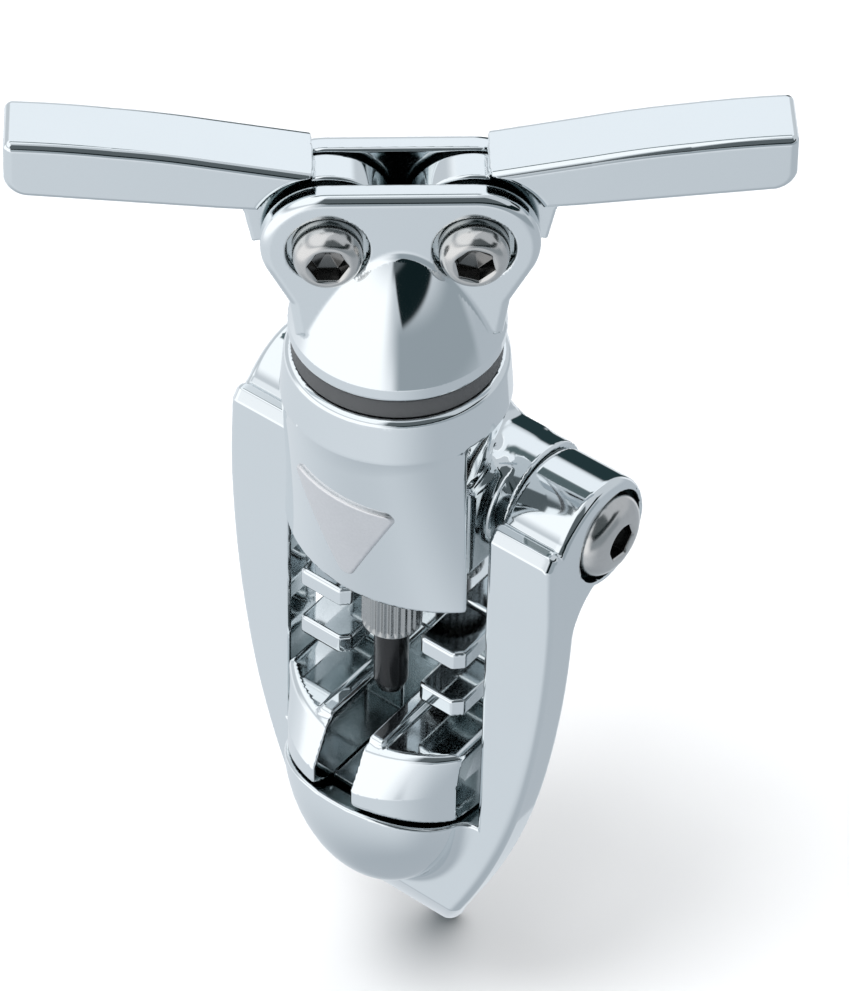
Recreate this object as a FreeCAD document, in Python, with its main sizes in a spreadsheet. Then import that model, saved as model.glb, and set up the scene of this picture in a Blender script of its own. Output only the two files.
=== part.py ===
import FreeCAD, Part
import math
import os
import Sketcher

from FreeCAD import Placement, Rotation, Vector

# A bicycle chain tool. Z runs up along the screw, X runs along the chain and the front of the
# tool faces -Y. The origin is the centre of the push pin's tip with the screw fully home.
# Lengths are in millimetres and angles in degrees.

doc = FreeCAD.newDocument("ChainTool")
sheet = doc.addObject("Spreadsheet::Sheet", "Dims")

DRIVING = {
    # chain seat: the pins and rollers of an 11/128 to 3/32 inch chain set these
    "pinRadius": 1.6,
    "rollerGapHalf": 4.1,
    "toothEnd": 8.7,
    "toothThick": 2.1,
    "toothPitch": 6.1,
    "toothTopZ": 4.0,
    "toothFrontY": -1.46,
    "toothBevel": 0.9,
    "leftToothExtra": 0.7,
    # base with its rivet slot
    "baseHalf": 10.0,
    "baseTopZ": -1.2,
    "baseFrontY": -6.8,
    "baseSideY": -2.4,
    "baseArc": 14.7,
    "skirtZ": -5.6,
    "skirtHalf": 9.5,
    "skirtFrontY": -8.9,
    "skirtArc": 9.8,
    "baseRearY": 9.6,
    "ridgeHalf": 3.7,
    "ridgeRise": 0.7,
    "slotHalf": 2.1,
    "slotDepth": 7.6,
    # spine, barrel and the swing of the bail
    "spineFrontY": 4.6,
    "spineHalf": 8.7,
    "pivotY": 7.8,
    "pivotZ": 23.9,
    "barrelRadius": 5.6,
    "barrelHalf": 10.5,
    "baseSwing": 35.6,
    "swingGap": 0.4,
    # collar and apron
    "collarRadius": 10.0,
    "collarRimRadius": 9.5,
    "collarTopZ": 41.9,
    "creaseZ": 37.6,
    "apronZ": 17.7,
    "apronHalf": 10.4,
    "apronBackY": -2.4,
    "hubRadius": 6.6,
    "screwBore": 5.0,
    "sleeveBore": 3.3,
    # bail
    "bailInner": 11.0,
    "bailOuter": 17.9,
    "bossRadius": 5.25,
    "armFrontY": -1.2,
    "armRearY": 3.2,
    "ledgeZ": 26.1,
    "bowlHalf": 9.8,
    "bowlDepth": 7.7,
    "bowlRimZ": -8.2,
    "bowlDrop": 15.0,
    "tipY": 10.2,
    "tipZ": -40.3,
    # head
    "headYaw": 39.5,
    "eyeX": 6.03,
    "eyeZ": 56.4,
    "eyeRound": 5.55,
    "faceY": 4.24,
    "headSlotHalf": 2.1,
    "slotFloorZ": 49.9,
    "neckRadius": 9.3,
    "headRimZ": 44.1,
    "ringRadius": 8.9,
    "ringThick": 1.8,
    # screw, sleeve and pin
    "screwRadius": 4.93,
    "screwEndZ": 20.5,
    "sleeveRadius": 2.75,
    "sleeveZ": 8.4,
    "sleeveTopZ": 22.5,
    # wings
    "bladeFront": 2.72,
    "bladeRear": 3.45,
    "tangHalf": 1.55,
    "wingHub": 5.7,
    # fasteners
    "eyeBoltRadius": 2.95,
    "eyeBoltShank": 2.0,
    "eyeSinkRadius": 3.46,
    "bailBoltRadius": 4.05,
    "bailBoltShank": 2.5,
    "bailSinkRadius": 4.45,
    "keyAcross": 3.0,
    "runFit": 0.06,
}
for row, (alias, value) in enumerate(DRIVING.items(), start=1):
    sheet.set(f"A{row}", alias)
    sheet.set(f"B{row}", str(value))
    sheet.setAlias(f"B{row}", alias)
doc.recompute()


class Size:
    """A length that keeps both its number and its spreadsheet expression."""

    def __init__(self, value, text):
        self.value, self.text = value, text

    def _with(self, other, sign, swap=False):
        a, b = (size(other), self) if swap else (self, size(other))
        value = {"+": a.value + b.value, "-": a.value - b.value, "*": a.value * b.value}[sign]
        return Size(value, f"({a.text} {sign} {b.text})")

    def __add__(self, other):
        return self._with(other, "+")

    def __radd__(self, other):
        return self._with(other, "+", swap=True)

    def __sub__(self, other):
        return self._with(other, "-")

    def __rsub__(self, other):
        return self._with(other, "-", swap=True)

    def __mul__(self, other):
        return self._with(other, "*")

    def __rmul__(self, other):
        return self._with(other, "*", swap=True)

    def __neg__(self):
        return 0 - self


def size(value):
    return value if isinstance(value, Size) else Size(float(value), f"{float(value):.6g}")


class Driving:
    """Every cell of the sheet as a Size, reached by its alias."""

    def __getattr__(self, alias):
        return Size(DRIVING[alias], f"Dims.{alias}")


d = Driving()


def bind(obj, prop, value):
    value = size(value)
    obj.setExpression(prop, value.text)


def place(obj, x, y, z):
    for axis, value in zip("xyz", (x, y, z)):
        bind(obj, f"Placement.Base.{axis}", value)
    return obj


def box(name, x, y, z, length, width, height):
    obj = doc.addObject("Part::Box", name)
    bind(obj, "Length", length)
    bind(obj, "Width", width)
    bind(obj, "Height", height)
    return place(obj, x, y, z)


TURN = {
    "+x": Rotation(Vector(0, 1, 0), 90),
    "-x": Rotation(Vector(0, 1, 0), -90),
    "+y": Rotation(Vector(1, 0, 0), -90),
    "-y": Rotation(Vector(1, 0, 0), 90),
    "+z": Rotation(),
    "-z": Rotation(Vector(1, 0, 0), 180),
}


def rod(name, way, radius, length, x=0, y=0, z=0, tip=None):
    """A cylinder from (x, y, z) along way, or a cone when it has a tip radius."""
    obj = doc.addObject("Part::Cylinder" if tip is None else "Part::Cone", name)
    obj.Placement.Rotation = TURN[way]
    if tip is None:
        bind(obj, "Radius", radius)
    else:
        bind(obj, "Radius1", radius)
        bind(obj, "Radius2", tip)
    bind(obj, "Height", length)
    return place(obj, x, y, z)


def hexPrism(name, way, across, length, x, y, z):
    obj = doc.addObject("Part::Prism", name)
    obj.Polygon = 6
    obj.Placement.Rotation = TURN[way]
    bind(obj, "Circumradius", size(across) * (1 / math.sqrt(3)))
    bind(obj, "Height", length)
    return place(obj, x, y, z)


def joined(name, *pieces):
    obj = doc.addObject("Part::MultiFuse", name)
    obj.Shapes = list(pieces)
    obj.Refine = True
    return obj


def cut(name, base, *tools):
    obj = doc.addObject("Part::Cut", name)
    obj.Base = base
    obj.Tool = tools[0] if len(tools) == 1 else joined(name + "Tools", *tools)
    obj.Refine = True
    return obj


def common(name, one, two):
    obj = doc.addObject("Part::MultiCommon", name)
    obj.Shapes = [one, two]
    return obj


def originPlane(body, role):
    return next(f for f in body.Origin.OriginFeatures if f.Role == role)


def addOutline(sketch, points):
    """A closed outline. A point is (x, y), or (x, y, r) when an arc of radius r leads to it.

    A positive radius bends to the left of the way from the last point, a negative one to the
    right, and the arc is always the short one."""
    points = [tuple(size(c) for c in p) for p in points]
    count = len(points)
    for i in range(count):
        here, ahead = points[i], points[(i + 1) % count]
        start = Vector(here[0].value, here[1].value, 0)
        end = Vector(ahead[0].value, ahead[1].value, 0)
        if len(ahead) == 2:
            sketch.addGeometry(Part.LineSegment(start, end))
            continue
        r = ahead[2].value
        chord = end - start
        half = chord.Length / 2
        reach = math.sqrt(max(r * r - half * half, 0))
        side = Vector(-chord.y, chord.x, 0).normalize() * (1 if r > 0 else -1)
        centre = start + chord * 0.5 + side * reach
        ends = (start, end) if r > 0 else (end, start)
        angles = [math.atan2(p.y - centre.y, p.x - centre.x) for p in ends]
        circle = Part.Circle(centre, Vector(0, 0, 1), abs(r))
        sketch.addGeometry(Part.ArcOfCircle(circle, *angles))
    first = [arcStart(sketch.Geometry[i], points[i]) for i in range(count)]
    for i in range(count):
        j = (i + 1) % count
        sketch.addConstraint(Sketcher.Constraint("Coincident", i, 3 - first[i], j, first[j]))
    for i in range(count):
        for axis, kind in ((0, "DistanceX"), (1, "DistanceY")):
            value = points[i][axis]
            if abs(value.value) < 1e-9:
                rule = Sketcher.Constraint("PointOnObject", i, first[i], -2 if axis == 0 else -1)
                sketch.addConstraint(rule)
                continue
            rule = Sketcher.Constraint(kind, -1, 1, i, first[i], value.value)
            index = sketch.addConstraint(rule)
            sketch.setExpression(f"Constraints[{index}]", value.text)
        ahead = points[(i + 1) % count]
        if len(ahead) == 3:
            radius = abs(ahead[2].value)
            index = sketch.addConstraint(Sketcher.Constraint("Radius", i, radius))
            text = ahead[2].text if ahead[2].value > 0 else f"-({ahead[2].text})"
            sketch.setExpression(f"Constraints[{index}]", text)


def arcStart(curve, point):
    """1 when the sketch curve starts at the point, 2 when it ends there."""
    at = Vector(point[0].value, point[1].value, 0)
    return 1 if (curve.StartPoint - at).Length < (curve.EndPoint - at).Length else 2


def sketchOn(body, role, points, offset=0):
    sketch = body.newObject("Sketcher::SketchObject", body.Name + "Sketch")
    sketch.AttachmentSupport = [(originPlane(body, role), "")]
    sketch.MapMode = "FlatFace"
    bind(sketch, "AttachmentOffset.Base.z", offset)
    addOutline(sketch, points)
    return sketch


def padded(name, role, points, length, offset=0, middle=False):
    """An outline on an origin plane padded along that plane's normal: +Z, -Y or +X."""
    body = doc.addObject("PartDesign::Body", name)
    sketch = sketchOn(body, role, points, offset)
    pad = body.newObject("PartDesign::Pad", name + "Pad")
    pad.Profile = sketch
    bind(pad, "Length", length)
    pad.Midplane = middle
    return body


def turned(name, points, angle=360):
    """An outline in the XZ plane turned about Z."""
    body = doc.addObject("PartDesign::Body", name)
    sketch = sketchOn(body, "XZ_Plane", points)
    spin = body.newObject("PartDesign::Revolution", name + "Spin")
    spin.Profile = sketch
    spin.ReferenceAxis = (sketch, ["V_Axis"])
    spin.Angle = angle
    return body


def filleted(name, base, radius, pick):
    """base with the edges that pick chooses rounded."""
    doc.recompute()
    chosen = [i for i, e in enumerate(base.Shape.Edges, start=1) if pick(e)]
    obj = doc.addObject("Part::Fillet", name)
    obj.Base = base
    obj.Edges = [(i, radius, radius) for i in chosen]
    return obj


subparts = {}


def finish(label, obj):
    """Name an object as one sub-part of the tool."""
    obj.Label = label
    subparts[label] = obj
    return obj


# ---------------------------------------------------------------- body casting

def buildBodyCasting():
    swing = rod("BaseSwing", "+x", d.baseSwing, 2 * d.baseHalf, -d.baseHalf, d.pivotY, d.pivotZ)
    side, rear = d.baseSideY, d.baseRearY

    def plan(half, front, arc):
        return [(-half, side), (0, front, arc), (half, side, arc), (half, rear - 3),
                (half - 3, rear, 3), (3 - half, rear), (-half, rear - 3, 3)]

    floor = -16
    top = plan(d.baseHalf, d.baseFrontY, d.baseArc)
    skirt = plan(d.skirtHalf, d.skirtFrontY, d.skirtArc)
    slope = lofted("BaseSlope", [(top, d.baseTopZ), (skirt, d.skirtZ)])
    block = padded("BaseBlock", "XY_Plane", skirt, d.skirtZ - floor, floor)
    base = joined("BaseWhole", slope, common("BaseRound", block, swing))
    ridgeFront = [(-d.ridgeHalf, side), (-d.ridgeHalf, d.baseFrontY + 0.8),
                  (d.ridgeHalf, d.baseFrontY + 0.8), (d.ridgeHalf, d.spineFrontY + 1),
                  (-d.ridgeHalf, d.spineFrontY + 1)]
    ridges = padded("Ridges", "XY_Plane", ridgeFront, d.ridgeRise + 1, d.baseTopZ - 1)
    slot = box("RivetSlot", -d.slotHalf, -12, d.baseTopZ - d.slotDepth,
               2 * d.slotHalf, 12 + d.spineFrontY, d.slotDepth + 5)

    spine = box("Spine", -d.spineHalf, d.spineFrontY, d.baseTopZ - 2,
                2 * d.spineHalf, d.baseRearY - d.spineFrontY, d.pivotZ - d.baseTopZ + 6)
    barrel = rod("Barrel", "+x", d.barrelRadius, 2 * d.barrelHalf,
                 -d.barrelHalf, d.pivotY, d.pivotZ)
    web = padded("BarrelWeb", "YZ_Plane",
                 [(0, d.apronZ + 1), (d.baseRearY, d.apronZ + 1),
                  (d.pivotY + d.barrelRadius * 0.97, d.pivotZ + d.barrelRadius * 0.25),
                  (d.collarRadius - 0.3, d.collarTopZ - 8), (0, d.collarTopZ - 8)],
                 9, middle=True)
    shoulder = padded("BarrelShoulder", "YZ_Plane",
                      [(0, d.apronZ + 1), (d.baseRearY, d.apronZ + 1),
                       (d.pivotY + d.barrelRadius * 0.97, d.pivotZ + d.barrelRadius * 0.25),
                       (d.pivotY + d.barrelRadius * 0.6, d.pivotZ + d.barrelRadius * 0.8),
                       (0, d.pivotZ + d.barrelRadius)],
                      16.4, middle=True)
    hub = rod("ScrewHub", "+z", d.hubRadius, d.collarTopZ - d.apronZ - 2, z=d.apronZ + 0.5)

    collar = turned("Collar", [(0, d.creaseZ - 7), (d.collarRadius - 3, d.creaseZ - 7),
                               (d.collarRadius, d.creaseZ - 3), (d.collarRadius, d.creaseZ),
                               (d.collarRimRadius + 0.2, d.collarTopZ - 0.6),
                               (d.collarRimRadius - 0.4, d.collarTopZ, 0.7),
                               (0, d.collarTopZ)])
    apron = apronLoft("Apron", 0)
    solid = joined("CastingSolid", base, ridges, spine, barrel, web, shoulder, hub, collar, apron,
                   *[tooth(f"Tooth{n}", sign, row) for n, (sign, row) in
                     enumerate([(1, 0), (-1, 0), (1, 1), (-1, 1)])])

    bore = rod("ScrewBore", "+z", d.screwBore, 30, z=d.screwEndZ - 1.2)
    sleeveBore = rod("SleeveBore", "+z", d.sleeveBore, 10, z=d.apronZ - 1)
    taps = [rod(f"BarrelTap{n}", way, d.bailBoltShank, 7.5, sign * (d.barrelHalf + 0.5),
                d.pivotY, d.pivotZ) for n, (way, sign) in enumerate([("-x", 1), ("+x", -1)])]
    pocket = badgeSolid("BadgePocket")
    casting = cut("Casting", solid, slot, bore, sleeveBore, pocket, *taps)
    finish("body_casting", casting)


def tooth(name, sign, row):
    """One of the four fingers that hold the chain, cantilevered forward from the spine."""
    inner, outer, front = d.rollerGapHalf, d.toothEnd, d.toothFrontY
    lead, trail = (0.35, d.toothBevel) if sign > 0 else (0.8, 0.25)
    if sign < 0:
        outer = outer + d.leftToothExtra
    plan = [(sign * inner, front + lead), (sign * (inner + lead), front),
            (sign * (outer - trail), front), (sign * outer, front + trail),
            (sign * outer, d.spineFrontY + 1), (sign * inner, d.spineFrontY + 1)]
    top = d.toothTopZ + row * d.toothPitch
    return padded(name, "XY_Plane", plan, d.toothThick, top - d.toothThick)


def apronLoft(name, grow):
    """The leaning front plate: a flat arc at its foot, the collar's own arc at its head."""
    foot = [(-d.apronHalf, d.apronBackY), (0, d.baseFrontY - grow, d.baseArc),
            (d.apronHalf, d.apronBackY, d.baseArc)]
    reach = d.collarRadius * 0.97
    back = -d.collarRadius * 0.243
    head = [(-reach, back), (0, -d.collarRadius - grow, d.collarRadius),
            (reach, back, d.collarRadius)]
    return lofted(name, [(foot, d.apronZ), (head, d.creaseZ)])


def lofted(name, levels):
    """Straight walls between outlines at different heights."""
    body = doc.addObject("PartDesign::Body", name)
    sections = []
    for outline, height in levels:
        sketch = body.newObject("Sketcher::SketchObject", name + "Section")
        sketch.AttachmentSupport = [(originPlane(body, "XY_Plane"), "")]
        sketch.MapMode = "FlatFace"
        bind(sketch, "AttachmentOffset.Base.z", height)
        addOutline(sketch, outline)
        sections.append(sketch)
    loft = body.newObject("PartDesign::AdditiveLoft", name + "Loft")
    loft.Profile = sections[0]
    loft.Sections = [sections[1]]
    loft.Ruled = True
    return body


# ---------------------------------------------------------------- badge

def badgeSolid(name):
    """A down-pointing triangle, leaning a little, as deep as its seat in the apron."""
    outline = [(-3.55, 31.75, -0.6), (4.9, 30.55), (5.35, 29.65, -0.6), (1.15, 21.1),
               (-0.05, 21.15, -0.7), (-4.1, 30.95)]
    return padded(name, "XZ_Plane", outline, 6, 5.9)


def buildBadge():
    finish("badge", common("BadgePlate", badgeSolid("BadgePrism"), apronLoft("BadgeSkin", 0.35)))


# ---------------------------------------------------------------- bail

def onBoss(angle):
    """A point of the bail boss's outline in the YZ plane."""
    turn = math.radians(angle)
    return (d.pivotY + d.bossRadius * math.cos(turn), d.pivotZ + d.bossRadius * math.sin(turn))


def buildBail():
    front, rear, r = d.armFrontY, d.armRearY, d.bossRadius
    side = [(front, d.ledgeZ), (front, -24.5), (d.tipY - 0.8, d.tipZ, 70),
            (d.tipY + 0.8, d.tipZ + 0.6, 1.2), (rear, -21.5, -34), (rear, d.pivotZ - 9.4),
            (*onBoss(-115), -5), (*onBoss(0), r), (5.9, d.pivotZ + 6.1, 6.6),
            (1.3, d.ledgeZ + 1.5), (0.8, d.ledgeZ + 0.8), (0.3, d.ledgeZ + 1.2),
            (-0.4, d.ledgeZ + 1.1)]
    sideView = padded("BailSide", "YZ_Plane", side, 40, middle=True)
    half = d.bailOuter
    frontView = [(-1.2, d.tipZ - 0.6), (1.2, d.tipZ - 0.6, 3), (9.9, -22.7), (15.8, -3.7, 80),
                 (half, 20, 134), (half - 0.4, 31), (0.4 - half, 31), (-half, 20),
                 (-15.8, -3.7, 134), (-9.9, -22.7, 80)]
    outline = padded("BailFront", "XZ_Plane", frontView, 60, middle=True)
    arms = common("BailArms", sideView, outline)

    bowl = doc.addObject("Part::Ellipsoid", "BailBowl")
    bowl.Angle1, bowl.Angle2, bowl.Angle3 = -90, 90, 360
    bind(bowl, "Radius1", d.bowlDrop)
    bind(bowl, "Radius2", d.bowlHalf)
    bind(bowl, "Radius3", d.bowlDepth)
    place(bowl, 0, front, d.bowlRimZ)

    window = rod("BailWindow", "+x", d.baseSwing + d.swingGap, 2 * d.bailInner,
                 -d.bailInner, d.pivotY, d.pivotZ)
    bores = rod("BailBore", "+x", d.bailBoltShank + d.runFit, 2 * half + 4,
                -half - 2, d.pivotY, d.pivotZ)
    sinks = [rod(f"BailSink{n}", way, d.bailSinkRadius, 6, sign * (half - 2.3),
                 d.pivotY, d.pivotZ) for n, (way, sign) in enumerate([("+x", 1), ("-x", -1)])]
    finish("bail", cut("Bail", joined("BailSolid", arms, bowl), window, bores, *sinks))


def buttonBolt(label, way, radius, shank, headHigh, shankLong, seat):
    """A button-head bolt whose head sits on seat, a point, with its shank behind the head."""
    x, y, z = seat
    axis, sign = way[1], (1 if way[0] == "+" else -1)
    back = ("-" if sign > 0 else "+") + axis

    def ahead(distance):
        offset = {"x": (sign * distance, 0, 0), "y": (0, sign * distance, 0)}[axis]
        return [size(c) + o for c, o in zip(seat, offset)]

    name = label.title().replace("_", "")
    flange = rod(name + "Head", way, radius, headHigh, x, y, z)
    crown = filleted(name + "Crown", flange, headHigh * 0.62,
                     lambda e: topCircle(e, way, seat, headHigh))
    stem = rod(name + "Shank", back, shank, shankLong, x, y, z)
    socket = hexPrism(name + "Key", back, d.keyAcross, headHigh * 0.62, *ahead(headHigh))
    return cut(name, joined(name + "Solid", crown, stem), socket)


def topCircle(edge, way, seat, high):
    """True for the circular edge of a head that lies high in front of its seat."""
    index = "xyz".index(way[1])
    level = size(seat[index]).value + (high if way[0] == "+" else -high)
    return edge.Closed and abs(edge.CenterOfMass[index] - level) < 0.01


def buildBailFasteners():
    seatX = d.bailOuter - 2.3 + 0.25
    for side, way, sign in (("right", "+x", 1), ("left", "-x", -1)):
        bolt = buttonBolt(f"bail_bolt_{side}", way, d.bailBoltRadius, d.bailBoltShank, 3.1, 12.2,
                          (sign * seatX, d.pivotY, d.pivotZ))
        finish(f"bail_bolt_{side}", bolt)
        disc = rod(f"BailWasher{side}", way, 4.9, 0.3, sign * d.barrelHalf, d.pivotY, d.pivotZ)
        hole = rod(f"BailWasherHole{side}", way, d.bailBoltShank + 0.02, 1,
                   sign * (d.barrelHalf - 0.3), d.pivotY, d.pivotZ)
        finish(f"bail_washer_{side}", cut(f"BailWasher_{side}", disc, hole))


# ---------------------------------------------------------------- head, in its own frame

def yawed(label, obj):
    """Turn a finished piece of the head to the way the head faces at rest."""
    obj.Placement = Placement(Vector(), Rotation(Vector(0, 0, 1), DRIVING["headYaw"]))
    return finish(label, obj)


def onEye(angle, radius):
    turn = math.radians(angle)
    return (d.eyeX + radius * math.cos(turn), d.eyeZ + radius * math.sin(turn))


def mirrored(point):
    return (-point[0], *point[1:])


def buildHead():
    r = d.eyeRound
    cheek = onEye(-25, r)
    plate = [(-8.7, 46.6), (8.7, 46.6), (9.2, 50.4), cheek, (d.eyeX, d.eyeZ + r, r),
             (-d.eyeX, d.eyeZ + r), (*mirrored(cheek), r), (-9.2, 50.4)]
    face = padded("HeadPlate", "XZ_Plane", plate, 2 * d.faceY, middle=True)
    rim = d.headRimZ
    bell = turned("HeadBell", [(0, rim), (d.neckRadius - 0.4, rim), (d.neckRadius, rim + 0.4, 0.45),
                               (d.neckRadius, rim + 1.4), (d.faceY, 56.0, 40), (1.6, 59.6, 40),
                               (0, 60)])
    slot = box("HeadSlot", -16, -d.headSlotHalf, d.slotFloorZ, 32, 2 * d.headSlotHalf, 20)
    socket = rod("HeadSocket", "+z", d.screwRadius + 0.02, 48.4 - rim + 1, z=rim - 1)
    tools = [slot, socket, rod("GrubTap", "-y", 1.62, 5.6, y=10.4, z=46.9)]
    for n, sign in enumerate((1, -1)):
        tools.append(rod(f"EyeSink{n}", "-y", d.eyeSinkRadius, 2, sign * d.eyeX,
                         0.7 - d.faceY, d.eyeZ))
        tools.append(rod(f"EyeHole{n}", "+y", d.eyeBoltShank + 0.02, 12, sign * d.eyeX, -6,
                         d.eyeZ))
    yawed("head_casting", cut("HeadCasting", joined("HeadSolid", face, bell), *tools))


def buildHeadPieces():
    ring = cut("RingCut", rod("RingDisc", "+z", d.ringRadius, d.ringThick,
                              z=d.headRimZ - d.ringThick),
               rod("RingHole", "+z", d.screwRadius + 0.15, 4, z=d.headRimZ - 3))
    finish("thrust_ring", ring)

    screw = rod("ScrewRod", "+z", d.screwRadius, 48.2 - d.screwEndZ, z=d.screwEndZ)
    journalHole = rod("JournalHole", "+z", 2.2 + d.runFit, 7.2, z=d.screwEndZ - 0.2)
    finish("spindle", cut("Spindle", screw, journalHole))

    grub = rod("GrubRod", "-y", 1.6, 3.8, y=9.0, z=46.9)
    key = hexPrism("GrubKey", "-y", 1.5, 1.4, 0, 9.1, 46.9)
    yawed("spindle_grub_screw", cut("Grub", grub, key))

    for side, sign in (("right", 1), ("left", -1)):
        bolt = buttonBolt(f"wing_bolt_{side}", "-y", d.eyeBoltRadius, d.eyeBoltShank, 2.7, 7.6,
                          (sign * d.eyeX, 0.7 - d.faceY, d.eyeZ))
        yawed(f"wing_bolt_{side}", bolt)
        for where, start in (("front", -d.headSlotHalf), ("rear", d.headSlotHalf - 0.3)):
            label = f"wing_washer_{side}_{where}"
            disc = rod(label + "_disc", "+y", 4.6, 0.3, sign * d.eyeX, start, d.eyeZ)
            hole = rod(label + "_hole", "+y", d.eyeBoltShank + 0.02, 2, sign * d.eyeX,
                       start - 1, d.eyeZ)
            yawed(label, cut(label + "_cut", disc, hole))


def buildWings():
    inner = 6.35
    for side, sign in (("right", 1), ("left", -1)):
        def flip(points):
            """The right wing's outline, or its mirror image for the left wing."""
            if sign > 0:
                return points
            swung = [(-p[0], p[1]) for p in points]
            bends = [p[2:] for p in points]
            order = range(len(points) - 1, -1, -1)
            return [(*swung[i], *bends[(i + 1) % len(points)]) for i in order]

        blade = [(*onEye(27, inner), -inner), (14.6, 59.5), (30.7, 61.1),
                 (32.4, 62.9, 2.2), (32.3, 66.8), (23.5, 65.95, 90), (15.4, 64.65, 90),
                 (7.3, 63.1), onEye(79, inner)]
        tang = [(d.eyeX, d.eyeZ), onEye(-12, inner), (12.8, 57.9), (14.6, 59.6, -1.9),
                (14.6, 62.5), (7.3, 62.9)]
        name = side.title()
        outer = padded(f"{name}Blade", "XZ_Plane", flip(blade), d.bladeFront + d.bladeRear,
                       -1 * d.bladeRear)
        soft = filleted(f"{name}BladeSoft", outer, 0.5,
                        lambda e: e.Length > 6 and abs(e.CenterOfMass.x) > 13
                        and abs(e.CenterOfMass.y) > 2.5)
        web = padded(f"{name}Tang", "XZ_Plane", flip(tang), 2 * d.tangHalf, middle=True)
        hub = rod(f"{name}Hub", "+y", d.wingHub, 2 * d.tangHalf, sign * d.eyeX, -d.tangHalf,
                  d.eyeZ)
        hole = rod(f"{name}WingBore", "+y", d.eyeBoltShank + d.runFit, 8, sign * d.eyeX, -4,
                   d.eyeZ)
        yawed(f"wing_{side}", cut(f"{name}Wing", joined(f"{name}WingSolid", soft, web, hub), hole))


# ---------------------------------------------------------------- pin and sleeve

def buildPin():
    nose = rod("PinNose", "+z", d.pinRadius - 0.35, 1.2, tip=d.pinRadius)
    stem = rod("PinStem", "+z", d.pinRadius, 17.5 - 1.2, z=1.2)
    finish("push_pin", joined("PushPin", nose, stem))

    barrel = rod("SleeveRod", "+z", d.sleeveRadius, d.screwEndZ - 0.3 - d.sleeveZ, z=d.sleeveZ)
    journal = rod("SleeveJournal", "+z", 2.2, 6.8, z=d.screwEndZ - 0.5)
    bore = rod("SleeveHole", "+z", d.pinRadius + 0.02, 9.2, z=d.sleeveZ - 0.05)
    finish("pin_sleeve", cut("PinSleeve", joined("SleeveSolid", barrel, journal), bore))


buildBodyCasting()
buildBadge()
buildBail()
buildBailFasteners()
buildHead()
buildHeadPieces()
buildWings()
buildPin()
doc.recompute()

for obj in doc.Objects:
    if "Invalid" in obj.State or "Error" in obj.State:
        raise RuntimeError(f"{obj.Label} failed: {obj.State}")
os.makedirs("parts", exist_ok=True)
for label, obj in subparts.items():
    shape = obj.Shape
    if shape.isNull() or not shape.isValid():
        raise RuntimeError(f"{label} has no valid shape")
    print(f"{label}: {len(shape.Solids)} solid, {shape.Volume:.1f} mm3")
    shape.exportStep(f"parts/{label}.step")
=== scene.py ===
import math
import bpy
import bmesh
import numpy as np
from mathutils import Matrix, Vector


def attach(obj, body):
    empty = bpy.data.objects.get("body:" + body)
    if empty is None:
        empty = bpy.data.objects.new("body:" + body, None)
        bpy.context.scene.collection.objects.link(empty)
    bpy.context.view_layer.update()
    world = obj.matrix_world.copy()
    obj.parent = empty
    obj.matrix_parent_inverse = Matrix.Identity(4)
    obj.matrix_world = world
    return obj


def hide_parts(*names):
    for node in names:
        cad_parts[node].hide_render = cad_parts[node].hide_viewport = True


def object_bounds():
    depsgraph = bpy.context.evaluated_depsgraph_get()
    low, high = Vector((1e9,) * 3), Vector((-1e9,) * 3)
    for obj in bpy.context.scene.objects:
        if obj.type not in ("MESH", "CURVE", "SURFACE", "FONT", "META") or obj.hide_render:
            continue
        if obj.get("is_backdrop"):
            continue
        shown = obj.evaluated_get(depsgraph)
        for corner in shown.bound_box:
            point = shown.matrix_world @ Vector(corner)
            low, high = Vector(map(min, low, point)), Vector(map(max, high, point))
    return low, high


# Chain tool with a beaked head, two folding wings and a swinging bail.
# Lengths are in millimetres until a mesh is made; the frame itself is in metres.
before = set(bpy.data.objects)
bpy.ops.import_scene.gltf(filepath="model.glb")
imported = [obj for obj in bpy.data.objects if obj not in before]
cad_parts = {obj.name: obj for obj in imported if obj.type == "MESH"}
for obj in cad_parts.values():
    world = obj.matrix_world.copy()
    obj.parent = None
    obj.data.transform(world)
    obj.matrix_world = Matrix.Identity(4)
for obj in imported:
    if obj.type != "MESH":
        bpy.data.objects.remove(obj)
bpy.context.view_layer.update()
scene = bpy.context.scene
print("frame loaded:", len(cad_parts), "nodes")


class Wire:
    # one output socket; arithmetic on it adds Math nodes
    def __init__(self, board, socket):
        self.board, self.socket = board, socket

    def maths(self, operation, *values):
        return self.board.node("ShaderNodeMath", {"operation": operation}, dict(enumerate(values)))

    def __add__(self, other):
        return self.maths("ADD", self, other)

    def __sub__(self, other):
        return self.maths("SUBTRACT", self, other)

    def __rsub__(self, other):
        return self.maths("SUBTRACT", other, self)

    def __mul__(self, other):
        return self.maths("MULTIPLY", self, other)

    __radd__ = __add__
    __rmul__ = __mul__


class Board:
    # a node tree being wired up
    def __init__(self, tree):
        self.tree = tree

    def node(self, kind, settings=None, inputs=None, output=0):
        made = self.tree.nodes.new(kind)
        for key, value in (settings or {}).items():
            setattr(made, key, value)
        for key, value in (inputs or {}).items():
            if isinstance(value, Wire):
                self.tree.links.new(value.socket, made.inputs[key])
            else:
                made.inputs[key].default_value = value
        return Wire(self, made.outputs[output])

    def tint(self, amount, low, high):
        tones = {6: low if isinstance(low, Wire) else (*low, 1),
                 7: high if isinstance(high, Wire) else (*high, 1)}
        return self.node("ShaderNodeMix", {"data_type": "RGBA"}, {"Factor": amount, **tones}, 2)

    def rising(self, value, low, high):
        # 0 below low, 1 above high, a smooth step between; the other way round when high < low
        return self.node("ShaderNodeMapRange", {"interpolation_type": "SMOOTHSTEP"},
                         {"Value": value, "From Min": low, "From Max": high})


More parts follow.
